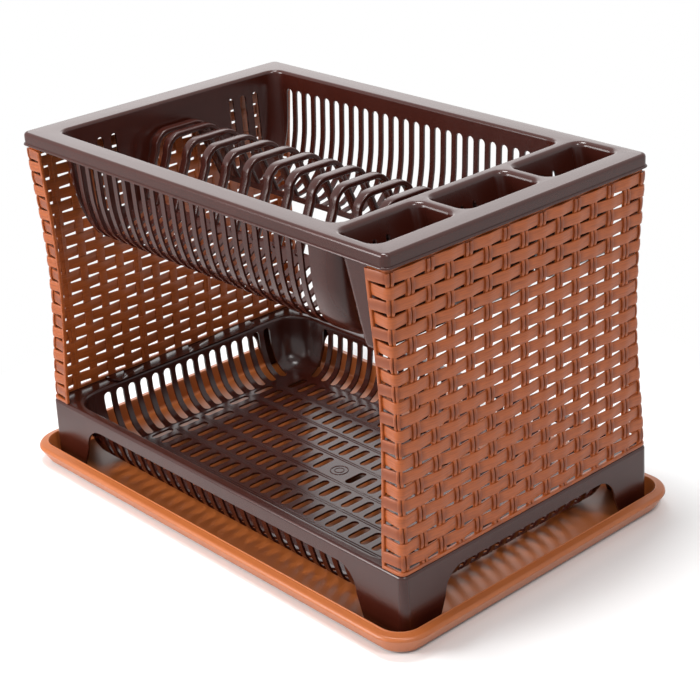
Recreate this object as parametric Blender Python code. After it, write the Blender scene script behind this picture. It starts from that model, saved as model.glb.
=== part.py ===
"""Two-tier dish rack: a dish basket carried by two woven-look side panels that stand on a
second basket with feet, which in turn stands in a drip tray.

X runs along the rack, Y from its open front (-Y) to its open back, Z up. The origin is under
the middle of the drip tray, on the surface it stands on. All lengths are in metres."""

import math

import bmesh
import bpy

# Overall sizes
rack_length = 0.474
rack_depth = 0.302
rack_height = 0.333

# Shared moulding sizes
wall = 0.002
seat_gap = 0.0003
overrun = 0.010
corner_steps = 4

# Drip tray
tray_length = 0.522
tray_depth = 0.350
tray_height = 0.0215
tray_radius = 0.030
tray_floor = 0.0025
tray_skirt_lean = 0.0085
tray_wall_lean = 0.0035
tray_lip_width = 0.0100
tray_lip_round = 0.0022

# Lower basket: skirt with feet, ledge and slotted basket in one moulding
base_length = 0.4856
base_depth = 0.3036
base_height = 0.064
base_radius = 0.007
base_draft = 0.0012
ledge_width_ends = 0.0203
ledge_width_sides = 0.0098
lower_mouth_radius = 0.028
lower_floor_radius = 0.014
lower_depth = 0.0532
lower_reach_ends = 0.029
lower_reach_sides = 0.0245
lower_inset_shares = (0.0, 0.16, 0.45, 1.0)
lower_depth_shares = (0.0, 0.58, 0.88, 1.0)
lower_slot_pitch = 0.0150
lower_slot_width = 0.0088
lower_slot_drop = 0.006
lower_side_slots = 24
lower_end_pitch = 0.0146
lower_end_slots = 15
floor_slot_width = 0.0063
floor_slot_length = 0.0245
floor_row_pitch = 0.0329
floor_columns = 26
floor_rows = 7
arch_band = 0.0135
side_arch_length = 0.396
end_arch_length = 0.232
arch_round = 0.022
arch_lean = 0.010

# Side panels: imitation rattan mouldings, flared at the top and the bottom, with a plain band
# along the top that stands back from the weave and enters the rim
panel_thickness = 0.0034
panel_band_thickness = 0.0018
panel_relief = 0.0026
panel_radius = 0.006
panel_foot_margin = 0.0010
panel_foot_side_margin = 0.0006
panel_return = 0.0237
panel_end_waist = 0.0025
panel_side_waist = 0.0072
panel_waist_power = 1.5
panel_levels = 6
slit_pitch = 0.0208
slit_width = 0.0122
slit_height = 0.0032
slit_columns = 12
slit_rows = 10
slit_foot = 0.0168
slit_head = 0.0354
tab_length = 0.024
tab_thickness = 0.0018
tab_depth = 0.006
tab_spacing = 0.080
tab_clearance = 0.0004

# Upper basket: rim, dish bowl with a row of plate arches, and three cutlery cups
rim_skirt = 0.012
rim_radius = 0.0065
rim_lip = 0.0014
rim_lip_height = 0.0016
bowl_length = 0.3714
bowl_depth = 0.2576
bowl_margin = 0.0260
bowl_height = 0.105
bowl_radius = 0.011
bowl_low_radius = 0.022
bowl_reach_sides = 0.0823
bowl_reach_ends = 0.0090
bowl_side_shares = (0.0, 0.013, 0.058, 0.146, 0.291, 0.503)
bowl_end_shares = (0.0, 0.18, 0.42, 0.62, 0.80, 1.0)
bowl_depth_shares = (0.0, 0.27, 0.64, 0.845, 0.955, 1.0)
bowl_round_shares = (0.0, 0.35, 0.8, 1.0, 0.9, 0.6)
ridge_side_shares = (0.503, 0.725, 1.0)
ridge_depth_shares = (1.0, 0.93, 0.793)
upper_slot_pitch = 0.01363
upper_slot_width = 0.0080
upper_slot_drop = 0.0162
upper_side_slots = 24
upper_slot_shift = -0.0076
end_slot_pitch = 0.0155
end_slot_width = 0.0060
end_slots = 3
sill_width = 0.005
sill_height = 0.0055
plate_arches = 12
plate_arch_pitch = 0.0289
plate_arch_shift = 0.0010
arch_strap_width = 0.0090
arch_strap_thickness = 0.0046
arch_drop = 0.0225
arch_leg_lean = 0.0180
arch_shoulder = 0.0178
arch_shoulder_most_share = 0.8
cup_names = ("front_cutlery_cup", "middle_cutlery_cup", "back_cutlery_cup")
cup_length = 0.0423
cup_depth = 0.0846
cup_bridge = 0.0117
cup_radius = 0.009
cup_low_radius = 0.005
cup_height = 0.0886
cup_floor_length = 0.014
cup_outer_lean = 0.0044
cup_side_lean = 0.0033
cup_margin = 0.0231
cup_slot_width = 0.0042
cup_slot_pitch = 0.0141
cup_slot_height = 0.050
cup_drain_width = 0.0030
cup_drain_length = 0.010


def clear_scene():
    for item in list(bpy.data.objects):
        bpy.data.objects.remove(item, do_unlink=True)


def plastic(name, colour, roughness):
    material = bpy.data.materials.new(name)
    material.use_nodes = True
    shader = material.node_tree.nodes["Principled BSDF"]
    shader.inputs["Base Color"].default_value = (*colour, 1.0)
    shader.inputs["Roughness"].default_value = roughness
    shader.inputs["Metallic"].default_value = 0.0
    return material


def add_object(name, form, material=None):
    """Make one object from a bmesh, with every face pointing out."""
    bmesh.ops.recalc_face_normals(form, faces=form.faces)
    mesh = bpy.data.meshes.new(name)
    form.to_mesh(mesh)
    form.free()
    item = bpy.data.objects.new(name, mesh)
    bpy.context.scene.collection.objects.link(item)
    if material:
        mesh.materials.append(material)
    return item


def rounded(length, depth, radius, middle=0.0, steps=corner_steps):
    """Outline of a rectangle with round corners, anticlockwise from its +X side."""
    outline = []
    for turn in range(4):
        sign_x = (1, -1, -1, 1)[turn]
        sign_y = (1, 1, -1, -1)[turn]
        centre_x = middle + sign_x * (length / 2 - radius)
        centre_y = sign_y * (depth / 2 - radius)
        for step in range(steps + 1):
            angle = math.pi / 2 * (turn + step / steps)
            outline.append((centre_x + radius * math.cos(angle), centre_y + radius * math.sin(angle)))
    return outline


def stack(name, rings, material=None):
    """Closed solid through rings of (outline, height), with a cap on the first and the last."""
    form = bmesh.new()
    loops = [[form.verts.new((x, y, z)) for x, y in outline] for outline, z in rings]
    count = len(loops[0])
    for low, high in zip(loops, loops[1:]):
        for i in range(count):
            j = (i + 1) % count
            form.faces.new((low[i], low[j], high[j], high[i]))
    form.faces.new(list(reversed(loops[0])))
    form.faces.new(loops[-1])
    return add_object(name, form, material)


def add_box(form, low, high):
    corners = [
        form.verts.new((x, y, z))
        for x in (low[0], high[0])
        for y in (low[1], high[1])
        for z in (low[2], high[2])
    ]
    for face in ((0, 1, 3, 2), (4, 6, 7, 5), (0, 4, 5, 1), (2, 3, 7, 6), (0, 2, 6, 4), (1, 5, 7, 3)):
        form.faces.new([corners[i] for i in face])


def boxes(name, spans):
    """One object of separate boxes, each given by its low and its high corner."""
    form = bmesh.new()
    for low, high in spans:
        add_box(form, low, high)
    return add_object(name, form)


def add_prism(form, outline, axis, start, end):
    """Extrude an outline given in the plane square to an axis: (y, z) for X, (x, z) for Y."""
    rows = []
    for place in (start, end):
        if axis == "X":
            rows.append([form.verts.new((place, a, b)) for a, b in outline])
        else:
            rows.append([form.verts.new((a, place, b)) for a, b in outline])
    count = len(outline)
    for i in range(count):
        j = (i + 1) % count
        form.faces.new((rows[0][i], rows[0][j], rows[1][j], rows[1][i]))
    form.faces.new(list(reversed(rows[0])))
    form.faces.new(rows[1])


def combine(target, other, operation):
    """Apply an exact Boolean of another object to the target, and drop the other object."""
    modifier = target.modifiers.new(operation, "BOOLEAN")
    modifier.operation = operation
    modifier.solver = "EXACT"
    modifier.object = other
    graph = bpy.context.evaluated_depsgraph_get()
    mesh = bpy.data.meshes.new_from_object(target.evaluated_get(graph))
    target.modifiers.clear()
    target.data = mesh
    bpy.data.objects.remove(other, do_unlink=True)


def spread(count, pitch):
    """Places of a row of equally spaced things about zero."""
    return [(i - (count - 1) / 2) * pitch for i in range(count)]


def drip_tray(material):
    """Shallow tray whose round lip is turned down into a leaning skirt all the way round."""
    inner = tray_lip_width
    rings = []
    for inset, height in (
        (inner + tray_wall_lean - wall, 0.0),
        (inner - wall, tray_height - wall),
        (wall, tray_height - wall),
        (tray_skirt_lean + wall * 0.9, tray_floor),
        (tray_skirt_lean, tray_floor),
        (0.0, tray_height - tray_lip_round),
        (tray_lip_round / 3, tray_height - tray_lip_round / 3),
        (tray_lip_round, tray_height),
        (inner - tray_lip_round / 2, tray_height),
        (inner, tray_height - tray_lip_round / 2),
        (inner + tray_wall_lean, tray_floor),
    ):
        outline = rounded(tray_length - 2 * inset, tray_depth - 2 * inset, tray_radius - inset)
        rings.append((outline, height))
    return stack("drip_tray", rings, material)


def skirt_arch(length):
    """Outline of the long low arch cut between two feet, with round upper corners."""
    foot = tray_floor - overrun
    top = base_height - arch_band
    half = length / 2
    outline = [(half, foot)]
    for step in range(corner_steps + 1):
        angle = math.pi / 2 * step / corner_steps
        along = half - arch_lean - arch_round * (1 - math.cos(angle))
        outline.append((along, top - arch_round * (1 - math.sin(angle))))
    return outline + [(-x, z) for x, z in reversed(outline)]


def lower_basket(material):
    """Feet, skirt, ledge and slotted basket, moulded in one."""
    foot = tray_floor + seat_gap
    mouth_length = base_length - 2 * ledge_width_ends
    mouth_depth = base_depth - 2 * ledge_width_sides
    floor_top = base_height - lower_depth

    def basket_rings(thickness):
        rings = []
        for inset, drop in zip(lower_inset_shares, lower_depth_shares):
            length = mouth_length - 2 * inset * lower_reach_ends + 2 * thickness
            depth = mouth_depth - 2 * inset * lower_reach_sides + 2 * thickness
            radius = lower_mouth_radius + (lower_floor_radius - lower_mouth_radius) * inset + thickness
            height = base_height - drop * lower_depth - thickness
            rings.append((rounded(length, depth, radius), height))
        return rings

    def skirt_ring(inset, height):
        outline = rounded(base_length - 2 * inset, base_depth - 2 * inset, base_radius - inset)
        return (outline, height)

    rings = list(reversed(basket_rings(wall)))
    rings.append(skirt_ring(wall, base_height - wall))
    rings.append(skirt_ring(wall - base_draft, foot))
    rings.append(skirt_ring(-base_draft, foot))
    rings.append(skirt_ring(0.0, base_height - wall / 2))
    rings.append(skirt_ring(wall / 2, base_height))
    rings += basket_rings(0.0)
    body = stack("lower_basket", rings, material)

    # Long arches in the skirt, which leave a foot at each corner
    form = bmesh.new()
    for side in (-1, 1):
        inner = side * (base_depth / 2 - wall - base_draft)
        outer = side * (base_depth / 2 + base_draft + overrun)
        add_prism(form, skirt_arch(side_arch_length), "Y", inner, outer)
        inner = side * (base_length / 2 - wall - base_draft)
        outer = side * (base_length / 2 + base_draft + overrun)
        add_prism(form, skirt_arch(end_arch_length), "X", inner, outer)
    combine(body, add_object("skirt_arches", form), "DIFFERENCE")

    # Wall slots, which run down the wall and round into the floor
    spans = []
    slot_top = base_height - lower_slot_drop
    half = lower_slot_width / 2
    side_start = mouth_depth / 2 - lower_reach_sides
    side_end = base_depth / 2 - wall - base_draft
    end_start = mouth_length / 2 - lower_reach_ends
    end_end = base_length / 2 - wall - base_draft
    for place in spread(lower_side_slots, lower_slot_pitch):
        for side in (-1, 1):
            near, far = sorted((side * side_start, side * (side_end - wall)))
            spans.append(((place - half, near, foot), (place + half, far, slot_top)))
    for place in spread(lower_end_slots, lower_end_pitch):
        for side in (-1, 1):
            near, far = sorted((side * end_start, side * (end_end - wall)))
            spans.append(((near, place - half, foot), (far, place + half, slot_top)))

    # Drain slots in the floor, in rows; the two in the middle give way to a plain patch
    for column, x in enumerate(spread(floor_columns, lower_slot_pitch)):
        for row, y in enumerate(spread(floor_rows, floor_row_pitch)):
            middle_column = abs(column - (floor_columns - 1) / 2) < 1
            if middle_column and row == floor_rows // 2:
                continue
            low = (x - floor_slot_width / 2, y - floor_slot_length / 2, foot)
            high = (x + floor_slot_width / 2, y + floor_slot_length / 2, floor_top + overrun / 2)
            spans.append((low, high))

    # Sockets in the ledge for the panels' tabs
    for side in (-1, 1):
        for y in (-tab_spacing, 0.0, tab_spacing):
            middle = side * tab_middle()
            reach_x = tab_thickness / 2 + tab_clearance
            reach_y = tab_length / 2 + tab_clearance
            low = (middle - reach_x, y - reach_y, base_height - wall - overrun / 2)
            high = (middle + reach_x, y + reach_y, base_height + overrun)
            spans.append((low, high))
    combine(body, boxes("lower_slots", spans), "DIFFERENCE")
    return body


def tab_middle():
    """Distance of a panel tab's middle from the rack's middle, along X."""
    return base_length / 2 - panel_foot_margin - panel_thickness + tab_thickness / 2


def panel_top():
    return rack_height - wall - seat_gap


def panel_outline(share, insets):
    """One level of a panel: its outer line and its inner line, from front to back.

    The level is given as a share of the panel's height, and each line by its inset from the
    weave's face. Both lines have as many points."""
    top_x = rack_length / 2 - wall - 2 * seat_gap + panel_relief
    top_y = rack_depth / 2 - wall - 2 * seat_gap + panel_relief
    foot_x = base_length / 2 - panel_foot_margin
    foot_y = base_depth / 2 - panel_foot_side_margin
    waist = math.sin(math.pi * share) ** panel_waist_power
    face = foot_x + (top_x - foot_x) * share - panel_end_waist * waist
    side = foot_y + (top_y - foot_y) * share - panel_side_waist * waist
    hem = foot_x - panel_return + (top_x - foot_x) * share
    lines = []
    for inset in insets:
        radius = panel_radius - inset
        centre_x = face - inset - radius
        centre_y = side - inset - radius
        front = [(hem, -centre_y - radius)]
        for step in range(corner_steps + 1):
            angle = -math.pi / 2 * (1 - step / corner_steps)
            front.append((centre_x + radius * math.cos(angle), -centre_y + radius * math.sin(angle)))
        back = [(x, -y) for x, y in reversed(front)]
        lines.append(front + back)
    return lines


def side_panel(name, sign, material):
    """Curved sheet with its front and back edges turned round a corner, and rows of slits."""
    foot = base_height + seat_gap
    height = panel_top() - foot
    form = bmesh.new()
    band_height = rim_skirt - wall + seat_gap
    weave_share = 1 - (band_height + panel_relief) / height
    weave = (0.0, panel_thickness)
    band = (panel_relief, panel_relief + panel_band_thickness)
    plan = [(weave_share * level / panel_levels, weave) for level in range(panel_levels + 1)]
    plan += [(1 - band_height / height, band), (1.0, band)]
    levels = []
    for share, insets in plan:
        rows = []
        for line in panel_outline(share, insets):
            rows.append([form.verts.new((sign * x, y, foot + share * height)) for x, y in line])
        levels.append(rows)
    count = len(levels[0][0])
    for low, high in zip(levels, levels[1:]):
        for row in (0, 1):
            for i in range(count - 1):
                form.faces.new((low[row][i], low[row][i + 1], high[row][i + 1], high[row][i]))
        for i in (0, count - 1):
            form.faces.new((low[0][i], high[0][i], high[1][i], low[1][i]))
    for rows in (levels[0], levels[-1]):
        for i in range(count - 1):
            form.faces.new((rows[0][i], rows[0][i + 1], rows[1][i + 1], rows[1][i]))
    panel = add_object(name, form, material)

    # Tabs on the bottom edge, which enter the sockets of the ledge
    spans = []
    middle = sign * tab_middle()
    for y in (-tab_spacing, 0.0, tab_spacing):
        low = (middle - tab_thickness / 2, y - tab_length / 2, base_height - tab_depth)
        high = (middle + tab_thickness / 2, y + tab_length / 2, foot + tab_thickness / 2)
        spans.append((low, high))
    combine(panel, boxes("tabs", spans), "UNION")

    # Slits between the strands
    spans = []
    inner = rack_length / 2 - wall - panel_end_waist - panel_thickness - overrun
    outer = base_length / 2 + overrun
    near, far = sorted((sign * inner, sign * outer))
    row_pitch = (height - slit_foot - slit_head) / (slit_rows - 1)
    for y in spread(slit_columns, slit_pitch):
        for row in range(slit_rows):
            z = foot + slit_foot + row * row_pitch
            low = (near, y - slit_width / 2, z - slit_height / 2)
            high = (far, y + slit_width / 2, z + slit_height / 2)
            spans.append((low, high))
    combine(panel, boxes("slits", spans), "DIFFERENCE")
    return panel


def bowl_middle():
    """Middle of the dish bowl along X: it keeps to the left end of the rim."""
    return -rack_length / 2 + bowl_margin + bowl_length / 2


def bowl_rings(thickness):
    """Rings of the dish bowl from its mouth to its lowest line."""
    rings = []
    shares = zip(bowl_side_shares, bowl_end_shares, bowl_depth_shares, bowl_round_shares)
    for side, end, drop, bulge in shares:
        length = bowl_length - 2 * end * bowl_reach_ends + 2 * thickness
        depth = bowl_depth - 2 * side * bowl_reach_sides + 2 * thickness
        radius = bowl_radius + bulge * (bowl_low_radius - bowl_radius) + thickness
        height = rack_height - drop * bowl_height - thickness
        rings.append((rounded(length, depth, radius, bowl_middle()), height))
    return rings


def bowl_end(height):
    """Half length of the bowl's inside at a height, read from its rings."""
    levels = [(rack_height - drop * bowl_height, end) for end, drop in zip(bowl_end_shares, bowl_depth_shares)]
    for (high, first), (low, second) in zip(levels, levels[1:]):
        if height >= low:
            share = first + (second - first) * (high - height) / (high - low)
            return bowl_length / 2 - share * bowl_reach_ends
    return bowl_length / 2 - bowl_reach_ends


def ridge_line(drop):
    """Line from the bowl's lowest place up to its sill, a given drop below the upper face."""
    line = []
    for side, depth in zip(ridge_side_shares, ridge_depth_shares):
        line.append((bowl_depth / 2 - side * bowl_reach_sides, rack_height - depth * bowl_height - drop))
    return line


def ridge_underside(drop):
    """Underside of the ridge: the same line, ending below the sill's bar."""
    line = ridge_line(drop)[:-1]
    sill, top = ridge_line(drop - wall)[-1]
    line.append((sill + sill_width, top - sill_height))
    line.append((sill, top - sill_height))
    return line


def ridge(side):
    """Floor between the bowl's lowest line and the sill, ending inside both end walls."""
    upper = ridge_line(0.0)
    lower = ridge_underside(wall)
    start, low = upper[0]
    section = [(start + wall / 2, low - wall / 4)] + upper[1:]
    section += list(reversed(lower[1:])) + [(start + wall / 2, low - wall * 3 / 4)]
    form = bmesh.new()
    ends = []
    for end in (-1, 1):
        loop = []
        for y, z in section:
            x = bowl_middle() + end * (bowl_end(z) + wall / 2)
            loop.append(form.verts.new((x, side * y, z)))
        ends.append(loop)
    count = len(section)
    for i in range(count):
        j = (i + 1) % count
        form.faces.new((ends[0][i], ends[0][j], ends[1][j], ends[1][i]))
    form.faces.new(list(reversed(ends[0])))
    form.faces.new(ends[1])
    return add_object("ridge", form)


def sill_place():
    """Distance of a sill's inner edge from the rack's middle, along Y."""
    return bowl_depth / 2 - bowl_reach_sides


def plate_arch_outline(inset):
    """Half-open outline of a plate arch, from its back foot over the top to its front foot."""
    foot = rack_height - ridge_depth_shares[-1] * bowl_height + seat_gap
    top = rack_height - arch_drop - inset
    half_foot = sill_place() + arch_strap_thickness
    half_top = half_foot - arch_leg_lean
    radius = min(arch_shoulder, half_top * arch_shoulder_most_share) - inset
    outline = [(half_foot - inset, foot)]
    for step in range(corner_steps + 1):
        angle = math.pi / 2 * step / corner_steps
        y = half_top - inset - radius * (1 - math.cos(angle))
        outline.append((y, top - radius * (1 - math.sin(angle))))
    return outline + [(-y, z) for y, z in reversed(outline)]


def cup_rings(y, thickness, low_extra, top):
    """Rings of one cutlery cup from its floor to its mouth, leaning in on all four sides."""
    right = rack_length / 2 - cup_margin
    mouth_middle = right - cup_length / 2
    floor_middle = right - cup_outer_lean - cup_floor_length / 2
    foot = rack_height - cup_height - low_extra
    rings = []
    for length, depth, radius, middle, height in (
        (cup_floor_length, cup_depth - 2 * cup_side_lean, cup_low_radius, floor_middle, foot),
        (cup_length, cup_depth, cup_radius, mouth_middle, top),
    ):
        outline = rounded(length + 2 * thickness, depth + 2 * thickness, radius + thickness, middle, 2)
        rings.append(([(a, b + y) for a, b in outline], height))
    return rings


def upper_basket(material):
    """Rim and dish bowl, with sills for the plate arches and openings for the cutlery cups."""
    def rim_ring(inset, height):
        outline = rounded(rack_length - 2 * inset, rack_depth - 2 * inset, rim_radius - inset)
        return (outline, height)

    rim_foot = rack_height - rim_skirt
    rings = list(reversed(bowl_rings(wall)))
    rings.append(rim_ring(wall, rack_height - wall))
    rings.append(rim_ring(wall, rim_foot))
    rings.append(rim_ring(-rim_lip, rim_foot))
    rings.append(rim_ring(-rim_lip, rim_foot + rim_lip_height))
    rings.append(rim_ring(0.0, rim_foot + 2 * rim_lip_height))
    rings.append(rim_ring(0.0, rack_height - wall / 2))
    rings.append(rim_ring(wall / 2, rack_height))
    rings += bowl_rings(0.0)
    body = stack("upper_basket", rings, material)

    # Space under the ridge and the tunnel under the plate arches, open through both end walls
    low = rack_height - bowl_height - overrun
    end_reach = bowl_length / 2 + 2 * wall
    line = ridge_underside(wall + seat_gap)
    line = [(line[0][0], low)] + line
    form = bmesh.new()
    section = line + [(-y, z) for y, z in reversed(line)]
    add_prism(form, section, "X", bowl_middle() - end_reach, bowl_middle() + end_reach)
    combine(body, add_object("underside", form), "DIFFERENCE")
    tunnel = plate_arch_outline(arch_strap_thickness + seat_gap)
    tunnel = [(tunnel[0][0], low)] + tunnel + [(tunnel[-1][0], low)]
    form = bmesh.new()
    add_prism(form, tunnel, "X", bowl_middle() - end_reach, bowl_middle() + end_reach)
    combine(body, add_object("tunnel", form), "DIFFERENCE")
    for side in (-1, 1):
        combine(body, ridge(side), "UNION")

    # Slots down the front and back walls and across the floor to the sills
    spans = []
    slot_top = rack_height - upper_slot_drop
    for x in spread(upper_side_slots, upper_slot_pitch):
        for side in (-1, 1):
            near, far = sorted((side * (sill_place() + sill_width), side * (bowl_depth / 2 + 2 * wall)))
            left = bowl_middle() + upper_slot_shift + x - upper_slot_width / 2
            spans.append(((left, near, low), (left + upper_slot_width, far, slot_top)))

    # Slots in the end walls, three beside each corner
    end_low = rack_height - bowl_depth_shares[3] * bowl_height
    first = bowl_depth / 2 - bowl_low_radius - end_slot_width
    for end in (-1, 1):
        near = bowl_middle() + end * (bowl_length / 2 - bowl_reach_ends - 2 * wall)
        far = bowl_middle() + end * end_reach
        near, far = sorted((near, far))
        for number in range(end_slots):
            for side in (-1, 1):
                y = side * (first - number * end_slot_pitch)
                corner = (near, y - end_slot_width / 2, end_low)
                spans.append((corner, (far, y + end_slot_width / 2, slot_top)))
    combine(body, boxes("bowl_slots", spans), "DIFFERENCE")

    # Openings in the wide right end of the rim, which the cutlery cups hang in
    for y in cup_places():
        reach = wall + seat_gap
        rings = cup_rings(y, reach, 0.0, rack_height + seat_gap)
        combine(body, stack("cup_opening", rings), "DIFFERENCE")
    return body


def plate_arch_row(material):
    """Straps that the plates stand between, with their feet on the two sills."""
    outline = plate_arch_outline(0.0) + list(reversed(plate_arch_outline(arch_strap_thickness)))
    end_place = bowl_end(rack_height - ridge_depth_shares[-1] * bowl_height) - arch_strap_width / 2
    places = [plate_arch_shift + x for x in spread(plate_arches, plate_arch_pitch)]
    places = [seat_gap - end_place] + places + [end_place - seat_gap]
    for number, x in enumerate(places, 1):
        form = bmesh.new()
        left = bowl_middle() + x - arch_strap_width / 2
        add_prism(form, outline, "X", left, left + arch_strap_width)
        add_object(f"plate_arch_{number:02d}", form, material)


def cup_places():
    return spread(len(cup_names), cup_depth + cup_bridge)


def cutlery_cup(name, y, material):
    """Open cup flush with the top of the rim, with slots in its wall and its floor."""
    cup = stack(name, cup_rings(y, wall, wall, rack_height), material)
    combine(cup, stack("cup_inside", cup_rings(y, 0.0, 0.0, rack_height + seat_gap)), "DIFFERENCE")
    slot_top = rack_height - upper_slot_drop
    wall_outside = rack_length / 2 - cup_margin - cup_length - 2 * wall
    middle = rack_length / 2 - cup_margin - cup_outer_lean - cup_floor_length / 2
    cup_floor = rack_height - cup_height
    spans = []
    for shift in spread(2, cup_slot_pitch):
        low = (wall_outside, y + shift - cup_slot_width / 2, slot_top - cup_slot_height)
        spans.append((low, (middle, y + shift + cup_slot_width / 2, slot_top)))
        low = (middle - cup_drain_width / 2, y + shift - cup_drain_length / 2, cup_floor - overrun)
        high = (middle + cup_drain_width / 2, y + shift + cup_drain_length / 2, cup_floor + wall)
        spans.append((low, high))
    combine(cup, boxes("cup_slots", spans), "DIFFERENCE")


def main():
    clear_scene()
    drip_tray(plastic("caramel_tray_plastic", (0.52, 0.21, 0.07), 0.3))
    lower_basket(plastic("brown_lower_plastic", (0.045, 0.018, 0.015), 0.3))
    side_panel("left_panel", -1, plastic("caramel_left_plastic", (0.45, 0.15, 0.05), 0.45))
    side_panel("right_panel", 1, plastic("caramel_right_plastic", (0.45, 0.15, 0.05), 0.45))
    upper_basket(plastic("brown_upper_plastic", (0.045, 0.018, 0.015), 0.3))
    plate_arch_row(plastic("brown_arch_plastic", (0.045, 0.018, 0.015), 0.3))
    cup_plastic = plastic("brown_cup_plastic", (0.045, 0.018, 0.015), 0.3)
    for name, y in zip(cup_names, cup_places()):
        cutlery_cup(name, y, cup_plastic)


main()
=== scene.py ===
"""Looks of the two-tier dish rack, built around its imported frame.

Lengths are in metres in the frame's own axes: X runs along the rack, Y from its open front to
its open back, Z up. A basket is modelled as the sheet of its visible face, and its wall is added
behind that. Sizes that the frame doesn't give were measured on the photograph."""
import math

import bmesh
import bpy
import numpy as np
from mathutils import Matrix, Vector


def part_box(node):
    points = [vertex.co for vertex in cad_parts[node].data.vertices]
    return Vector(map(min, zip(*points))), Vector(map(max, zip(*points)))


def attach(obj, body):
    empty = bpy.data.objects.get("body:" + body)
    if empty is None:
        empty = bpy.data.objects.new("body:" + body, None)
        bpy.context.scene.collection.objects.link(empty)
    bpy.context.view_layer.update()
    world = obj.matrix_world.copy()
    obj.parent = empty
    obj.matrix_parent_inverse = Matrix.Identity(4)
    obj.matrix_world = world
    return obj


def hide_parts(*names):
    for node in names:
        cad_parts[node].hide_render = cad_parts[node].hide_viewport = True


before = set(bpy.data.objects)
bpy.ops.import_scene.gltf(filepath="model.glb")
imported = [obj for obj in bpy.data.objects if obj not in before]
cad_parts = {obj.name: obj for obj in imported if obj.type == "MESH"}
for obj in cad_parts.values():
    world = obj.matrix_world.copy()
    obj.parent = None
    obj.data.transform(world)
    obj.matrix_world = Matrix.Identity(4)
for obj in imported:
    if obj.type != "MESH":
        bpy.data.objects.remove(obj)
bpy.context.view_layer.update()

# Boxes read from the frame
tray_low, tray_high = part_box("drip_tray")
base_low, base_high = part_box("lower_basket")
panel_low, panel_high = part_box("right_panel")
basket_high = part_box("upper_basket")[1]
arch_low, arch_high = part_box("plate_arch_02")
cup_low, cup_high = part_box("middle_cutlery_cup")

# Shared moulding sizes
wall = 0.002
seat_gap = 0.0003
weld = 0.00002
edge_round = 0.00045
slot_end_margin = 0.0008
fillet_steps = 4
corner_steps = 10
slot_end_steps = 6

# Drip tray
tray_radius = 0.030
tray_corner_steps = 16
tray_floor = 0.0025
tray_fillet = 0.0035
tray_lip_width = 0.0100
tray_lip_round = 0.0034
tray_lip_drop = 0.0008
tray_skirt_lean = 0.0085
tray_wall_lean = 0.0035
tray_bead = 0.0006
tray_bead_half = 0.0007
tray_bead_back = 0.0022
tray_inner_edge = ((0.0006, 0.0004), (0.0, 0.0016))
tray_floor_back = 0.0004

# Lower basket
base_top = base_high.z
base_draft = 0.0012
base_half_length = base_high.x - base_draft
base_half_depth = base_high.y - base_draft
base_radius = 0.007
base_fillet = 0.0030
lower_mouth_half_length = 0.2225
lower_mouth_half_depth = 0.1420
lower_mouth_fillet = 0.0030
lower_depth = 0.0532
lower_reach_sides = 0.0245
lower_reach_ends = 0.029
lower_side_shares = (0.0, 0.16, 0.45, 0.93, 1.15)
lower_end_shares = (0.0, 0.16, 0.45, 0.93, 1.12)
lower_depth_shares = (0.0, 0.58, 0.88, 1.0, 1.0)
lower_radii = (0.028, 0.0258, 0.0217, 0.0150, 0.0125)
lower_slot_foot_share = 0.93
lower_floor_share = 0.99
lower_slot_pitch = 0.0150
lower_slot_width = 0.0088
lower_slot_drop = 0.006
lower_slot_search = 0.02
lower_side_slots = 24
lower_end_pitch = 0.0146
lower_end_slots = 15
floor_slot_width = 0.0082
floor_slot_length = 0.0245
floor_row_pitch = 0.0329
floor_columns = 26
floor_rows = 7
floor_line_half = 0.186
floor_line_gap = 0.0026
floor_line_round = 0.0005
floor_rings = ((0.0085, 0.0006), (0.0045, 0.0005))
floor_ring_steps = 32
floor_bead_steps = 8
arch_band = 0.0135
side_arch_half = 0.198
end_arch_half = 0.116
arch_round = 0.022
arch_lean = 0.010
tab_length = 0.024
tab_thickness = 0.0018
tab_height = 0.0075
tab_edge = 0.0005
tab_spacing = 0.080
tab_clearance = 0.0004

# Side panels: straps run round the panel, stakes of two strands run up it. The numbers of
# steps keep a panel under 200,000 triangles
stake_pitch = 0.0208
stakes_each_side = 7
strap_height = 0.0098
strap_thickness = 0.0018
strap_wave = 0.0012
strap_crown = 0.0004
strap_row_pitch = 0.0119
strap_rows = 21
strap_foot = 0.0108
strap_end_margin = 0.0008
strap_steps = 132
strand_width = 0.0032
strand_gap = 0.0010
strand_thickness = 0.0016
strand_wave = 0.0007
strand_crown = 0.0002
strand_depth = 0.0003
strand_steps_per_row = 5
strip_edge = 0.0006
wave_flatness = 0.5
weave_foot_margin = 0.0008
weave_top_margin = 0.0004
band_width = 0.0088
band_thickness = 0.0010
band_depth = 0.0024
band_edge = 0.0003
band_steps = 28
ribs = 4
rib_stakes = 4
rib_first_stake = -6
rib_width = 0.0018
rib_thickness = 0.0016
rib_depth = 0.0028
rib_edge = 0.0004
hem_height = 0.0030
hem_edge = 0.0005
rim_band_overlap = 0.0022
bead_width = 0.0024
bead_edge = 0.0007
bead_steps = 40
panel_foot = base_top + seat_gap
panel_height = panel_high.z - panel_foot
panel_thickness = 0.0034
panel_band_thickness = 0.0018
panel_relief = 0.0026
panel_radius = 0.006
panel_foot_margin = 0.0010
panel_foot_side_margin = 0.0006
panel_half_strip = 0.1660
panel_return = 0.0237
panel_end_waist = 0.0025
panel_side_waist = 0.0072
panel_waist_power = 1.5

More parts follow.
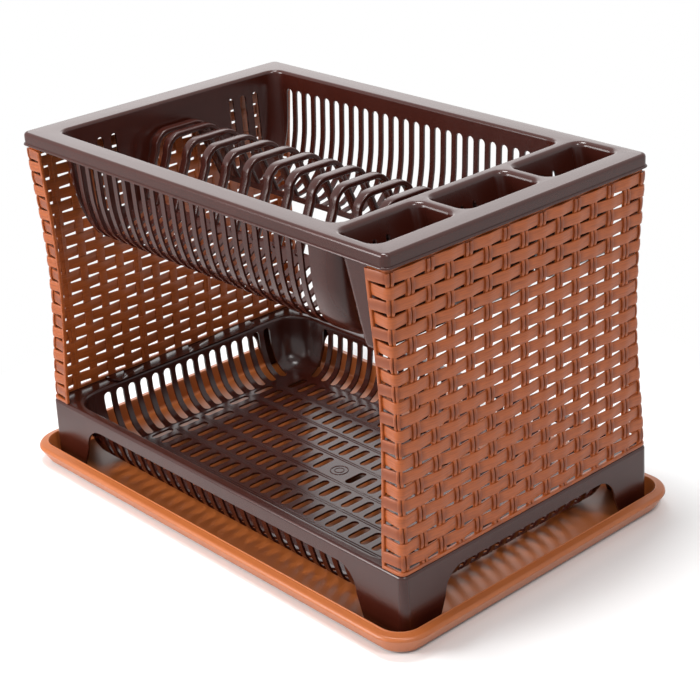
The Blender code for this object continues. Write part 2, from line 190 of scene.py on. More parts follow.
# Upper basket
rack_top = basket_high.z
rim_skirt = 0.012
rim_radius = 0.0065
rim_fillet = 0.0032
rim_lip = 0.0014
rim_lip_section = (
    (wall / 2, 0.0), (-rim_lip * 0.6, 0.0), (-rim_lip, 0.0005), (-rim_lip, 0.0011),
    (-rim_lip * 0.5, 0.0019), (wall / 2, 0.0024), (wall / 2, 0.0),
)
rim_half_length = basket_high.x - rim_lip
rim_half_depth = basket_high.y - rim_lip
bowl_fillet = 0.0030
bowl_half_length = 0.1857
bowl_half_depth = 0.1288
bowl_middle = -0.0253
bowl_height = 0.105
bowl_reach_sides = 0.0823
bowl_reach_ends = 0.0090
bowl_side_shares = (0.0, 0.013, 0.058, 0.146, 0.291, 0.503, 0.725, 1.0)
bowl_end_shares = (0.0, 0.18, 0.42, 0.62, 0.80, 1.0, 0.76, 0.58)
bowl_depth_shares = (0.0, 0.27, 0.64, 0.845, 0.955, 1.0, 0.93, 0.793)
bowl_radii = (0.011, 0.0149, 0.0198, 0.022, 0.0131, 0.0, 0.0, 0.0)
sill_height = rack_top - bowl_depth_shares[-1] * bowl_height
sill_flange = ((0.0, 0.0), (0.0006, 0.0004), (0.0010, 0.0012), (0.0010, 0.0055))
ridge_foot_y = 0.0668
side_slot_low_y = 0.0565
sill_start_y = 0.0505
upper_slot_pitch = 0.01363
upper_slot_width = 0.0080
upper_slot_drop = 0.0162
upper_slot_search = 0.03
upper_side_slots = 24
upper_slot_shift = -0.0076
end_slot_pitch = 0.0155
end_slot_width = 0.0074
end_slot_first = 0.1008
end_slot_low_drop = 0.0835
end_wall_low_drop = 0.0890
end_slots = 3
tunnel_columns = 12
arch_thickness = 0.0046
arch_edge = 0.0010
arch_foot_sink = 0.0012
arch_lean_inwards = 0.0180
arch_shoulder = 0.0178

# Cutlery cups: each is one open box with round corners that narrows to its floor
cup_pitch = 0.0963
cup_length = cup_high.x - cup_low.x - 2 * wall
cup_depth = cup_high.y - cup_low.y - 2 * wall
cup_right = cup_high.x - wall
cup_height = rack_top - cup_low.z - wall
cup_mouth_fillet = 0.0044
cup_foot_fillet = 0.0040
cup_foot_share = 0.8
cup_floor_length = 0.0140
cup_depth_taper = 0.0066
cup_right_taper = 0.0044
cup_mouth_radius = 0.009
cup_floor_radius = 0.005
cup_least_radius = 0.0015
cup_corner_steps = 6
cup_slot_width = 0.0042
cup_slot_spacing = 0.0141
cup_slot_length = 0.046
cup_slot_margin = 0.0034
cup_floor_slot_half_width = 0.0015
cup_floor_slot_half_length = 0.005

# Studio: the floor keeps the rack's shadow out to one distance, and is plain white from the other
studio_light = 0.42
floor_size = 3.0
floor_shadow_reach = 0.30
floor_white_reach = 0.46


def lerp(a, b, share):
    return a + (b - a) * share


def between(low, high, count):
    """Both ends of a stretch and the places that cut it in equal steps."""
    return [lerp(low, high, i / count) for i in range(count + 1)]


def spread(count, pitch):
    """Places of a row of equally spaced things about zero."""
    return [(i - (count - 1) / 2) * pitch for i in range(count)]


def fillet(radius, steps=fillet_steps):
    """Steps of a quarter round, from the upright face to the flat one: (set back, drop)."""
    turns = between(0.0, math.pi / 2, steps)
    return [(radius * (1 - math.cos(t)), radius * (1 - math.sin(t))) for t in turns]


def running_length(points):
    """Length of a line up to each of its points."""
    steps = np.linalg.norm(np.diff(points, axis=0), axis=1)
    return np.concatenate([[0.0], np.cumsum(steps)])


def evenly(path, count):
    """Points at equal running lengths along a flat line."""
    path = np.array(path)
    run = running_length(path)
    places = np.linspace(0.0, run[-1], count + 1)
    return list(zip(*(np.interp(places, run, path[:, i]).tolist() for i in (0, 1))))


def smooth_profile(points, count=240):
    """Smooth line through points: its running length over the first two values, and its samples."""
    points = np.array(points, float)
    chord = running_length(points[:, :2])
    slopes = np.gradient(points, chord, axis=0)
    samples = []
    for place in np.linspace(0.0, chord[-1], count):
        i = int(np.clip(np.searchsorted(chord, place, side="right") - 1, 0, len(points) - 2))
        span = chord[i + 1] - chord[i]
        q = (place - chord[i]) / span
        samples.append(
            (2 * q**3 - 3 * q**2 + 1) * points[i]
            + (q**3 - 2 * q**2 + q) * span * slopes[i]
            + (3 * q**2 - 2 * q**3) * points[i + 1]
            + (q**3 - q**2) * span * slopes[i + 1]
        )
    samples = np.array(samples)
    return running_length(samples[:, :2]), samples


def basket_profile(sizes, shares, radii):
    """Smooth line down a basket's wall: the side's inset, the drop, the end's inset, the radius."""
    columns = [[share * size for share in row] for size, row in zip(sizes, shares)]
    return smooth_profile(list(zip(*columns, radii)))


def profile_at(profile, length):
    lengths, samples = profile
    return [float(np.interp(length, lengths, samples[:, i])) for i in range(samples.shape[1])]


def length_where(profile, column, value, start=0.0, end=None):
    """Running length at which one value of a profile is met, between two lengths."""
    lengths, samples = profile
    end = lengths[-1] if end is None else end
    inside = (lengths >= start) & (lengths <= end)
    picked = samples[inside, column]
    order = np.argsort(picked)
    return float(np.interp(value, picked[order], lengths[inside][order]))


def add_grid(form, rows, closed=False):
    """Quads between rows of points."""
    verts = [[form.verts.new(p) for p in row] for row in rows]
    count = len(verts[0])
    for low, high in zip(verts, verts[1:]):
        for i in range(count if closed else count - 1):
            j = (i + 1) % count
            form.faces.new((low[i], low[j], high[j], high[i]))


def add_face(form, points):
    form.faces.new([form.verts.new(p) for p in points])


def add_capped(form, rows):
    """Closed bar through rows of points, with a face at each end."""
    add_grid(form, rows, closed=True)
    add_face(form, rows[0])
    add_face(form, rows[-1])


def add_slotted(form, place, lines, edges, slots, first, last):
    """Sheet with a row of round-ended slots: place(u, v) gives a point, u along the row.

    lines are the places of the grid's lines along v. A slot's straight part runs from line
    `first` to line `last`, and its round ends bulge into the next cells. edges are the places
    along u of all columns, and slots the numbers of the columns that are open."""
    arc = between(0.0, math.pi, slot_end_steps)
    for column, (a, b) in enumerate(zip(edges, edges[1:])):
        middle = (a + b) / 2
        half = (b - a) / 2
        for row, (low, high) in enumerate(zip(lines, lines[1:])):
            foot = [place(a, low), place(b, low)]
            head = [place(b, high), place(a, high)]
            if column in slots:
                if first <= row < last:
                    continue
                if row == first - 1:
                    head = [
                        place(middle + half * math.cos(t), high - abs(half) * math.sin(t))
                        for t in arc
                    ]
                elif row == last:
                    foot = [
                        place(middle - half * math.cos(t), low + abs(half) * math.sin(t))
                        for t in arc
                    ]
            add_face(form, foot + head)


def add_loop(form, points):
    """Closed line of edges, for a plate's hole or its rim."""
    verts = [form.verts.new(p) for p in points]
    for i, vert in enumerate(verts):
        form.edges.new((vert, verts[(i + 1) % len(verts)]))


def merge(form):
    bmesh.ops.remove_doubles(form, verts=form.verts, dist=weld)


def fill_level(form, height):
    """Flat plate between all open edges that lie at one height."""
    merge(form)
    edges = [
        e for e in form.edges
        if len(e.link_faces) < 2 and all(abs(v.co.z - height) < weld for v in e.verts)
    ]
    bmesh.ops.triangle_fill(form, edges=edges, use_beauty=True, use_dissolve=False)


def turn_up(form):
    """Point every face of a sheet the same way, with its highest flat face looking up."""
    bmesh.ops.recalc_face_normals(form, faces=form.faces)
    top = max(form.faces, key=lambda f: (round(f.calc_center_median().z, 4), f.calc_area()))
    if top.normal.z < 0:
        bmesh.ops.reverse_faces(form, faces=form.faces)


def new_object(name, form):
    mesh = bpy.data.meshes.new(name)
    form.to_mesh(mesh)
    form.free()
    item = bpy.data.objects.new(name, mesh)
    bpy.context.scene.collection.objects.link(item)
    return item


def settle(item):
    """Turn an object's modifiers into its plain mesh."""
    graph = bpy.context.evaluated_depsgraph_get()
    mesh = bpy.data.meshes.new_from_object(item.evaluated_get(graph))
    item.modifiers.clear()
    old = item.data
    item.data = mesh
    bpy.data.meshes.remove(old)
    mesh.name = item.name
    return item


def finish_sheet(name, form):
    """Give a sheet its wall and its rounded edges."""
    merge(form)
    turn_up(form)
    item = new_object(name, form)
    item.data.shade_smooth()
    solid = item.modifiers.new("wall", "SOLIDIFY")
    solid.thickness = wall
    solid.offset = -1
    solid.use_even_offset = True
    bevel = item.modifiers.new("edges", "BEVEL")
    bevel.width = edge_round
    bevel.segments = 2
    bevel.limit_method = "ANGLE"
    bevel.angle_limit = math.radians(50)
    item.modifiers.new("normals", "WEIGHTED_NORMAL").keep_sharp = True
    return settle(item)


def finish_solid(name, form, sharp=None):
    """Object from a closed form, smooth but for edges that bend by more than `sharp` degrees."""
    merge(form)
    bmesh.ops.recalc_face_normals(form, faces=form.faces)
    item = new_object(name, form)
    item.data.shade_smooth()
    if sharp:
        item.data.set_sharp_from_angle(angle=math.radians(sharp))
    return item


def join(target, *others):
    """Join further plain meshes into one object."""
    form = bmesh.new()
    form.from_mesh(target.data)
    for other in others:
        form.from_mesh(other.data)
        bpy.data.objects.remove(other)
    form.to_mesh(target.data)
    form.free()
    return target


def rounded(half_length, half_depth, radius, steps=corner_steps, middle=(0.0, 0.0)):
    """Outline of a rectangle with round corners, anticlockwise from its +X side."""
    outline = []
    for turn in range(4):
        centre_x = middle[0] + (1, -1, -1, 1)[turn] * (half_length - radius)
        centre_y = middle[1] + (1, 1, -1, -1)[turn] * (half_depth - radius)
        for step in range(steps + 1):
            angle = math.pi / 2 * (turn + step / steps)
            x = centre_x + radius * math.cos(angle)
            y = centre_y + radius * math.sin(angle)
            outline.append((x, y))
    return outline


def rings(half_length, half_depth, radius, section, steps=corner_steps):
    """Rows of points: a rounded rectangle for each (inset, height) of a section."""
    rows = []
    for inset, height in section:
        outline = rounded(half_length - inset, half_depth - inset, radius - inset, steps)
        rows.append([(x, y, height) for x, y in outline])
    return rows


def reach_beside(u, run, reach, radius):
    """Distance out to a rounded rectangle's side at a place along it, also round its corner."""
    past = abs(u) - (run - radius)
    if past > 0 and radius > 0:
        return reach - radius + math.sqrt(max(radius**2 - past**2, 0.0))
    return reach


def mouth_lines(radius):
    """Grid lines on a mouth's fillet, which lies above v = 0."""
    return [-radius * math.pi / 2 * (1 - i / fillet_steps) for i in range(fillet_steps)]


class Basin:
    """Inside of a slotted basket: rounded rectangles that follow a smooth profile downwards.

    A place v down the wall is its running length from the foot of the mouth's fillet, and is
    below zero on that fillet."""

    def __init__(self, half_length, half_depth, top, middle, mouth_fillet, profile):
        self.half_length = half_length
        self.half_depth = half_depth
        self.top = top
        self.middle = middle
        self.fillet = mouth_fillet
        self.profile = profile

    def v_where(self, column, value, start=0.0, end=None):
        """Place down the wall at which one value of the profile is met."""
        return length_where(self.profile, column, value, start, end) - self.fillet

    def ring(self, v):
        """Half length, half depth, corner radius and height of the ring at a place v."""
        if v < 0:
            turn = -v / self.fillet
            out = self.fillet * (1 - math.cos(turn))
            side, drop, end, radius = profile_at(self.profile, self.fillet)
            height = self.top - self.fillet * (1 - math.sin(turn))
            return self.half_length - end + out, self.half_depth - side + out, radius + out, height
        side, drop, end, radius = profile_at(self.profile, v + self.fillet)
        return self.half_length - end, self.half_depth - side, radius, self.top - drop

    def side(self, sign):
        """Place on the front or back wall: u is the distance from the basin's middle along X."""
        def place(u, v):
            length, depth, radius, height = self.ring(v)
            return (self.middle + u, sign * reach_beside(u, length, depth, radius), height)
        return place

    def end(self, sign):
        """Place on an end wall: u is the place along Y."""
        def place(u, v):
            length, depth, radius, height = self.ring(v)
            return (self.middle + sign * reach_beside(u, depth, length, radius), u, height)
        return place

    def corner(self, v, last_x, last_y, sign_x, sign_y):
        """Points round a corner, evenly spaced from the last column of a side to that of an end."""
        length, depth, radius, height = self.ring(v)
        start = self.side(1)(last_x, v)
        finish = self.end(1)(last_y, v)
        path = [(start[0] - self.middle, start[1])]
        for angle in between(math.pi / 2, 0.0, 32):
            x = length - radius + radius * math.cos(angle)
            y = depth - radius + radius * math.sin(angle)
            if x > last_x and y > last_y:
                path.append((x, y))
        path.append((finish[0] - self.middle, finish[1]))
        points = evenly(path, corner_steps)
        return [(self.middle + sign_x * x, sign_y * y, height) for x, y in points]


def slot_edges(places, width):
    """Places of all columns of a row of slots, and the numbers of the open ones."""
    edges = []
    for place in places:
        edges += [place - width / 2, place + width / 2]
    return edges, set(range(0, len(edges), 2))


def stadium(x, y, half_width, half_length, height):
    """Outline of a slot with round ends, lying along Y at one height."""
    points = []
    for turn, sign in ((0.0, 1), (math.pi, -1)):
        centre = y + sign * (half_length - half_width)
        for step in range(slot_end_steps + 1):
            angle = turn + math.pi * step / slot_end_steps
            across = x + half_width * math.cos(angle)
            points.append((across, centre + half_width * math.sin(angle), height))
    return points


def strip_section(thickness, width, edge, crown=0.0, steps=2):
    """Section of a flat strip: (depth, place across), with round edges.

    crown is how far the middle of its face stands out, or None for no line along the middle."""
    section = []
    half = width / 2
    for side, back, turn in ((1, 0, 0), (-1, 0, 1), (-1, 1, 2), (1, 1, 3)):
        for step in range(steps + 1):
            angle = math.pi / 2 * (turn + step / steps)
            across = side * (half - edge) + edge * math.cos(angle)
            depth = back * (thickness - 2 * edge) + edge - edge * math.sin(angle)
            section.append((depth, across))
        if turn == 0 and crown is not None:
            section.append((-crown, 0.0))
    return section


def drip_tray():
    """Shallow tray whose round lip is turned down into a leaning skirt all the way round."""
    top = tray_high.z - tray_bead
    inner = tray_lip_width
    skirt = tray_skirt_lean
    lip_top = top - tray_lip_drop
    bead_start = inner - tray_bead_back

    # Section as (inset, height), from under the floor's edge, round the lip, to the floor's top
    section = [(inner + tray_wall_lean, 0.0), (inner, top - 2 * wall)]
    section += [(inner - wall / 2, top - wall)]
    section += [(wall * 1.2, top - wall), (wall * 1.1, top - 2 * wall)]
    section += [(skirt + wall * 0.8, tray_floor + wall / 4), (skirt + wall / 2, tray_floor)]
    section += [(skirt + wall / 5, tray_floor), (skirt, tray_floor + wall / 4)]
    section += [(back, lip_top - drop) for back, drop in fillet(tray_lip_round, 8)]
    for share in between(0.0, 1.0, 3)[1:]:
        section.append((lerp(tray_lip_round, bead_start, share), lerp(lip_top, top, share)))
    for turn in between(0.0, math.pi, 7)[1:-1]:
        inset = bead_start + tray_bead_half * (1 - math.cos(turn))
        section.append((inset, top + tray_bead * math.sin(turn)))
    section += [(inner - back, top - drop) for back, drop in tray_inner_edge]
    floor_edge = inner + tray_wall_lean - tray_floor_back
    section += [(floor_edge + back, tray_floor + drop) for back, drop in fillet(tray_fillet, 6)]
    form = bmesh.new()
    add_capped(form, rings(tray_high.x, tray_high.y, tray_radius, section, tray_corner_steps))
    item = finish_solid("drip_tray_moulding", form, 50)
    item.modifiers.new("normals", "WEIGHTED_NORMAL").keep_sharp = True
    return settle(item)


def arch_outline(half, top):
    """Half of a long low arch between two feet, from its foot to its flat top."""
    foot = base_low.z
    outline = [(half, foot), (half - arch_lean * 0.5, lerp(foot, top - arch_round, 0.5))]
    for back, drop in fillet(arch_round, 8):
        outline.append((half - arch_lean - back, top - drop))
    return outline


def tab_middle():
    return base_half_length - panel_foot_margin - panel_thickness + tab_thickness / 2


def lower_basket_skirt(form):
    """Skirt with a long arch in each side, which leaves a foot at each corner."""
    foot = base_low.z
    shoulder = base_top - base_fillet
    arch_top = base_top - arch_band

    # A quarter of its lower edge, from the middle of the +X end to the middle of the +Y side
    ends = arch_outline(end_arch_half, arch_top)
    sides = arch_outline(side_arch_half, arch_top)
    places = [("end", 0.0, arch_top)]
    places += [("end", along, height) for along, height in reversed(ends)]
    places += [("turn", angle, foot) for angle in between(0.0, math.pi / 2, corner_steps)]
    places += [("side", along, height) for along, height in sides]
    places.append(("side", 0.0, arch_top))

    def point(kind, along, inset, height):
        length = base_half_length - inset
        depth = base_half_depth - inset
        radius = base_radius - inset
        if kind == "end":
            return (length, along, height)
        if kind == "side":
            return (along, depth, height)
        x = length - radius + radius * math.cos(along)
        y = depth - radius + radius * math.sin(along)
        return (x, y, height)

    rows = []
    for share in between(1.0, 0.0, 4):
        row = []
        for kind, along, low in places:
            height = lerp(shoulder, low, share)
            draft = base_draft * (shoulder - height) / (shoulder - foot)
            row.append(point(kind, along, -draft, height))
        rows.append(row)
    for back, drop in fillet(base_fillet)[1:]:
        rows.append([point(kind, along, back, base_top - drop) for kind, along, low in places])
    for sign_x in (-1, 1):
        for sign_y in (-1, 1):
            add_grid(form, [[(sign_x * x, sign_y * y, z) for x, y, z in row] for row in rows])


def lower_basket_walls(form):
    """Slotted walls of the lower basket; gives the height of its floor."""
    sizes = (lower_reach_sides, lower_depth, lower_reach_ends)
    shares = (lower_side_shares, lower_depth_shares, lower_end_shares)
    basin = Basin(
        lower_mouth_half_length, lower_mouth_half_depth, base_top, 0.0, lower_mouth_fillet,
        basket_profile(sizes, shares, lower_radii),
    )
    half = lower_slot_width / 2
    total = basin.v_where(0, lower_reach_sides * lower_floor_share)
    start = basin.v_where(1, lower_slot_drop, 0.0, lower_slot_search) + half
    finish = basin.v_where(0, lower_reach_sides * lower_slot_foot_share) - half
    lines = mouth_lines(lower_mouth_fillet) + [0.0, start - half - slot_end_margin]
    first = len(lines)
    last = first + 8
    lines += between(start, finish, 8) + [finish + half + slot_end_margin, total]
    side_places = spread(lower_side_slots, lower_slot_pitch)
    side_edges, side_slots = slot_edges(side_places, lower_slot_width)
    end_places = spread(lower_end_slots, lower_end_pitch)
    end_edges, end_open = slot_edges(end_places, lower_slot_width)
    for sign in (-1, 1):
        add_slotted(form, basin.side(sign), lines, side_edges, side_slots, first, last)
        add_slotted(form, basin.end(sign), lines, end_edges, end_open, first, last)
        for other in (-1, 1):
            rows = [basin.corner(v, side_edges[-1], end_edges[-1], sign, other) for v in lines]
            add_grid(form, rows)
    return basin.ring(total)[3]


def lower_basket_floor(form, height):
    """Floor with rows of drain slots; the two in the middle give way to a plain patch."""
    for row, y in enumerate(spread(floor_rows, floor_row_pitch)):
        for column, x in enumerate(spread(floor_columns, lower_slot_pitch)):
            in_middle = row == floor_rows // 2 and abs(x) < lower_slot_pitch
            in_corner = row in (0, floor_rows - 1) and column in (0, floor_columns - 1)
            if not in_middle and not in_corner:
                slot = stadium(x, y, floor_slot_width / 2, floor_slot_length / 2, height)
                add_loop(form, slot)
    fill_level(form, height)


def floor_line(form, y, height):
    """Slim half-round bar along X on a floor, with its foot sunk in the floor."""
    radius = floor_line_round
    rows = []
    for x in (-floor_line_half, floor_line_half):
        turns = between(0.0, math.pi, 6)
        row = [(x, y + radius * math.cos(t), height + radius * math.sin(t)) for t in turns]
        row += [(x, y - radius, height - radius), (x, y + radius, height - radius)]
        rows.append(row)
    add_capped(form, rows)


def floor_ring(form, height, radius, bead):
    """Raised ring round the middle of a floor."""
    rows = []
    for angle in between(0.0, 2 * math.pi, floor_ring_steps)[:-1]:
        row = []
        for turn in between(0.0, 2 * math.pi, floor_bead_steps)[:-1]:
            reach = radius + bead * math.cos(turn)
            rise = bead * math.sin(turn)
            row.append((reach * math.cos(angle), reach * math.sin(angle), height + rise))
        rows.append(row)
    add_grid(form, rows + [rows[0]], closed=True)


def lower_basket():
    form = bmesh.new()
    lower_basket_skirt(form)
    floor_height = lower_basket_walls(form)

    # Sockets in the ledge for the panels' tabs
    reach_x = tab_thickness / 2 + tab_clearance
    reach_y = tab_length / 2 + tab_clearance
    for side in (-1, 1):
        x = side * tab_middle()
        for y in spread(3, tab_spacing):
            corners = ((-1, -1), (1, -1), (1, 1), (-1, 1))
            add_loop(form, [(x + a * reach_x, y + b * reach_y, base_top) for a, b in corners])
    fill_level(form, base_top)
    lower_basket_floor(form, floor_height)
    item = finish_sheet("lower_basket_moulding", form)

    # Raised double lines between the rows of slots, and the plain ring at the floor's middle
    form = bmesh.new()
    for y in spread(floor_rows - 1, floor_row_pitch):
        for shift in spread(2, floor_line_gap):
            floor_line(form, y + shift, floor_height)
    for radius, bead in floor_rings:
        floor_ring(form, floor_height, radius, bead)
    return join(item, finish_solid("floor_lines", form))


def upper_lines(basin):
    """Places of the bowl's grid lines down its wall, with the numbers that matter."""
    half = upper_slot_width / 2
    start = basin.v_where(1, upper_slot_drop, 0.0, upper_slot_search) + half
    # The trough between the wall and the ridge that carries the sill, where the bowl is deepest
    low = basin.v_where(0, bowl_side_shares[5] * bowl_reach_sides)
    slot_low = basin.v_where(1, end_slot_low_drop, 0.0, low)
    wall_low = basin.v_where(1, end_wall_low_drop, 0.0, low)
    ridge_foot = basin.v_where(0, bowl_half_depth - ridge_foot_y, low)
    slot_finish = basin.v_where(0, bowl_half_depth - side_slot_low_y, low)
    sill_start = basin.v_where(0, bowl_half_depth - sill_start_y, low)
    sill = basin.profile[0][-1] - basin.fillet
    lines = mouth_lines(basin.fillet) + [0.0, start - half - slot_end_margin, start]
    marks = {"slot_top": len(lines) - 1}
    for mark, finish, steps in (
        ("end_slot_low", slot_low, 7),
        ("wall_low", wall_low, 1),
        ("low", low, 3),
        ("ridge_foot", ridge_foot, 5),
    ):
        lines += between(lines[-1], finish, steps)[1:]
        marks[mark] = len(lines) - 1
    lines += [lerp(ridge_foot, slot_finish, 0.6), slot_finish]
    marks["side_slot_low"] = len(lines) - 1
    return lines + [sill_start, sill], marks


def tunnel_half(leg_steps, top_steps):
    """Half outline of the tunnel's mouth in the end walls, from its foot to its middle."""
    inset = arch_thickness + seat_gap
    half_foot = arch_high.y - inset
    half_top = half_foot - arch_lean_inwards
    top = arch_high.z - inset
    radius = arch_shoulder - inset
    leg_y = between(half_foot, half_top, leg_steps)[:-1]
    leg_z = between(sill_height, top - radius, leg_steps)[:-1]
    shoulder = [(half_top - back, top - drop) for back, drop in fillet(radius, 12)]
    return list(zip(leg_y, leg_z)) + evenly(shoulder + [(0.0, top)], top_steps)


def corner_foot(basin, lines, marks, v, fixed):
    """Place along Y of the first column of an end wall, which follows the side inwards low down."""
    start = lines[marks["wall_low"]]
    if v <= start:
        return fixed
    depth = basin.ring(v)[1]
    high = basin.ring(start)[1]
    low = basin.ring(lines[marks["low"]])[1]
    margin = (high - fixed) * (depth - low) / (high - low)
    return depth - margin


def upper_end_wall(form, basin, lines, marks, end, edges, slots):
    """End wall of the bowl, with three slots beside each corner and the tunnel's mouth."""
    first = marks["slot_top"]
    wall_low = marks["wall_low"]
    low = marks["low"]
    foot = marks["ridge_foot"]
    place = basin.end(end)

    def on_wall(y, z):
        """Point of the end wall at a height, where the wall has no corner round."""
        high_part = lines[low] + basin.fillet
        length = length_where(basin.profile, 1, rack_top - z, 0.0, high_part)
        reach = basin.half_length - profile_at(basin.profile, length)[2]
        return (basin.middle + end * reach, y, z)

    for side in (-1, 1):
        signed = [side * e for e in edges]
        add_slotted(
            form, place, lines[:wall_low + 1], signed, slots, first, marks["end_slot_low"]
        )

        # Rows below the slots, squeezed down to the trough and the ridge
        bottoms = []
        for v in lines[low:foot + 1]:
            length, depth, radius, height = basin.ring(v)
            bottoms.append((basin.middle + end * length, side * depth, height))
        tops = [place(y, lines[wall_low]) for y in signed]
        rows = [tops]
        for number in range(wall_low + 1, low + 1):
            share = (number - wall_low) / (low - wall_low)
            v = lines[number]
            row = [place(side * corner_foot(basin, lines, marks, v, edges[0]), v)]
            for top_point, bottom in list(zip(tops, bottoms))[1:]:
                y = lerp(top_point[1], bottom[1], share)
                z = lerp(top_point[2], bottom[2], share)
                row.append(bottom if share == 1 else on_wall(y, z))
            rows.append(row)
        add_grid(form, rows)

    # Plain band above the tunnel
    inner = edges[-1]
    across = between(-inner, inner, tunnel_columns)
    add_grid(form, [[place(y, v) for y in across] for v in lines[:first]])

    # Strip round the tunnel's mouth, from the slots and the band above inwards to the hole
    top_z = basin.ring(lines[wall_low])[3]
    bottom_z = basin.ring(lines[foot])[3]
    side_heights = between(bottom_z, top_z, low - wall_low)
    side_heights += [basin.ring(v)[3] for v in reversed(lines[first - 1:wall_low])]
    outer = [(inner, z) for z in side_heights]
    outer += [(y, side_heights[-1]) for y in reversed(across[tunnel_columns // 2:-1])]
    hole = tunnel_half(len(side_heights) - 1, tunnel_columns // 2)
    inner_y = basin.ring(lines[-1])[1]
    rows = []
    for v in lines[foot:]:
        length, depth, radius, height = basin.ring(v)
        share = (inner - depth) / (inner - inner_y)
        row = [(basin.middle + end * length, depth, height)]
        for a, b in list(zip(outer, hole))[1:]:
            row.append(on_wall(lerp(a[0], b[0], share), lerp(a[1], b[1], share)))
        rows.append(row + [(x, -y, z) for x, y, z in reversed(row[:-1])])
    add_grid(form, rows)


def cup_ring(v):
    """Half length, half depth, corner radius, middle along X and height of a cup's inside.

    v is the place down its wall, from the foot of its mouth's fillet, as in Basin."""
    out = 0.0
    foot = cup_height - cup_foot_fillet
    if v < 0:
        turn = -v / cup_mouth_fillet
        out = cup_mouth_fillet * (1 - math.cos(turn))
        drop = cup_mouth_fillet * (1 - math.sin(turn))
    else:
        drop = cup_mouth_fillet + v
        if drop > foot:
            turn = min((drop - foot) / cup_foot_fillet, math.pi / 2)
            out = -cup_foot_fillet * (1 - math.cos(turn)) * cup_foot_share
            drop = foot + cup_foot_fillet * math.sin(turn)
    share = min(max(drop - cup_mouth_fillet, 0.0) / (cup_height - cup_mouth_fillet), 1.0)
    half_length = lerp(cup_length, cup_floor_length, share) / 2 + out
    half_depth = lerp(cup_depth, cup_depth - cup_depth_taper, share) / 2 + out
    floor_middle = cup_right - cup_right_taper - cup_floor_length / 2
    middle = lerp(cup_right - cup_length / 2, floor_middle, share)
    radius = max(lerp(cup_mouth_radius, cup_floor_radius, share) + out, cup_least_radius)
    return half_length, half_depth, radius, middle, rack_top - drop


def cutlery_cup(form, y):
    """Open cup with two slots in the wall that faces the bowl, and two in its floor."""
    slot_places = spread(2, cup_slot_spacing)
    start = upper_slot_drop - cup_mouth_fillet + cup_slot_width / 2
    finish = start + cup_slot_length
    bottom = cup_height - cup_foot_fillet - cup_mouth_fillet
    lines = mouth_lines(cup_mouth_fillet) + [0.0, start - cup_slot_margin]
    first = len(lines)
    lines += between(start, finish, 2) + [finish + cup_slot_margin]
    lines += between(bottom, bottom + cup_foot_fillet * math.pi / 2, 4)
    edges, slots = slot_edges(slot_places, cup_slot_width)

    def left(u, v):
        half_length, half_depth, radius, middle, height = cup_ring(v)
        return (middle - half_length, y + u, height)

    add_slotted(form, left, lines, edges, slots, first, first + 2)

    # Anticlockwise from the left wall's lower column round the front, right and back
    half_way = 2 * (cup_corner_steps + 1)
    rows = []
    for v in lines:
        half_length, half_depth, radius, middle, height = cup_ring(v)
        outline = rounded(half_length, half_depth, radius, cup_corner_steps, (middle, y))
        path = [(middle - half_length, y + edges[0])] + outline[half_way:]
        path += outline[:half_way] + [(middle - half_length, y + edges[-1])]
        rows.append([(a, b, height) for a, b in path])
    add_grid(form, rows)
    middle, height = cup_ring(lines[-1])[3:]
    for shift in slot_places:
        slot = (cup_floor_slot_half_width, cup_floor_slot_half_length, height)
        add_loop(form, stadium(middle, y + shift, *slot))
    return height


def upper_basket():
    sizes = (bowl_reach_sides, bowl_height, bowl_reach_ends)
    shares = (bowl_side_shares, bowl_depth_shares, bowl_end_shares)
    basin = Basin(
        bowl_half_length, bowl_half_depth, rack_top, bowl_middle, bowl_fillet,
        basket_profile(sizes, shares, bowl_radii),
    )
    form = bmesh.new()
    lines, marks = upper_lines(basin)
    side_places = [upper_slot_shift + x for x in spread(upper_side_slots, upper_slot_pitch)]
    side_edges, side_slots = slot_edges(side_places, upper_slot_width)
    end_places = [end_slot_first - i * end_slot_pitch for i in range(end_slots)]
    end_edges, end_open = slot_edges(end_places, -end_slot_width)
    rows_of_slots = (marks["slot_top"], marks["side_slot_low"])
    for sign in (-1, 1):
        add_slotted(form, basin.side(sign), lines, side_edges, side_slots, *rows_of_slots)
        upper_end_wall(form, basin, lines, marks, sign, end_edges, end_open)
        last_x = side_edges[-1] if sign == 1 else -side_edges[0]
        for other in (-1, 1):
            rows = []
            for number, v in enumerate(lines):
                if number <= marks["low"]:
                    last_y = corner_foot(basin, lines, marks, v, end_edges[0])
                    rows.append(basin.corner(v, last_x, last_y, sign, other))
                else:
                    length, depth, radius, height = basin.ring(v)
                    across = between(last_x, length, corner_steps)
                    rows.append([(basin.middle + sign * x, other * depth, height) for x in across])
            add_grid(form, rows)

    # Flange turned down at each sill
    length, depth, radius, height = basin.ring(lines[-1])
    xs = [basin.middle + x for x in [-length] + side_edges + [length]]
    for side in (-1, 1):
        add_grid(form, [
            [(x, side * (depth - back), height - drop) for x in xs]
            for back, drop in sill_flange
        ])

    # Rim, from the foot of its skirt to its flat top
    section = [(0.0, rack_top - rim_skirt), (0.0, rack_top - rim_skirt * 0.6)]
    section += [(back, rack_top - drop) for back, drop in fillet(rim_fillet)]
    add_grid(form, rings(rim_half_length, rim_half_depth, rim_radius, section), closed=True)
    for y in spread(3, cup_pitch):
        cup_floor = cutlery_cup(form, y)
    fill_level(form, rack_top)
    fill_level(form, cup_floor)
    item = finish_sheet("upper_basket_moulding", form)

    # Thin lip along the foot of the rim's skirt
    section = [(inset, rack_top - rim_skirt + rise) for inset, rise in rim_lip_section]
    form = bmesh.new()
    add_grid(form, rings(rim_half_length, rim_half_depth, rim_radius, section), closed=True)
    return join(item, finish_solid("rim_lip", form))


